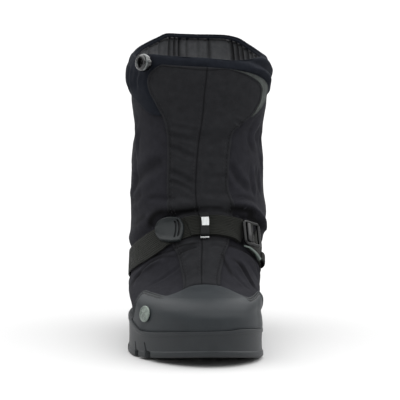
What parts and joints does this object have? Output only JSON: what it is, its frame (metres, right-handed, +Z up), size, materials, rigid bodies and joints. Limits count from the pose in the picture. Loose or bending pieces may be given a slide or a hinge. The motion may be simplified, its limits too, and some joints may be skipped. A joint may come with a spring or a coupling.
{
  "type": "overshoe",
  "caption": "Pull-on textile overshoe with a rubber sole and toe cap, a padded cuff, a front flap and a buckled instep strap.",
  "frame": {"origin": "middle of the tread's footprint on the floor, under the middle of the overshoe's bounding box", "axes": "+Z up from the floor, the toe towards -Y, the heel towards +Y, the inner side of the right foot towards +X"},
  "size_m": [0.1435, 0.325, 0.2908],
  "materials": {
    "sole_rubber": "matt moulded rubber",
    "cap_rubber": "smooth satin rubber",
    "nylon": "plain-woven coated nylon, matt",
    "band_cloth": "soft padded cloth",
    "insole_felt": "felt",
    "loop_tape": "loop pile tape",
    "webbing": "ribbed nylon webbing",
    "black_plastic": "glossy moulded plastic",
    "tab_rubber": "satin moulded rubber",
    "badge_metal": "satin metal"
  },
  "bodies": {
    "root": {"outsole": "sole_rubber", "upper": "nylon", "insole": "insole_felt", "toe_cap": "cap_rubber", "collar_band": "band_cloth", "front_flap": "nylon", "loop_tape": "loop_tape", "instep_strap": "webbing", "strap_return": "webbing", "anchor_strap": "webbing", "strap_tab": "tab_rubber", "strap_keeper": "black_plastic", "ladder_lock": "black_plastic", "badge_disc": "badge_metal", "cord_lock": "black_plastic"}
  },
  "joints": []
}
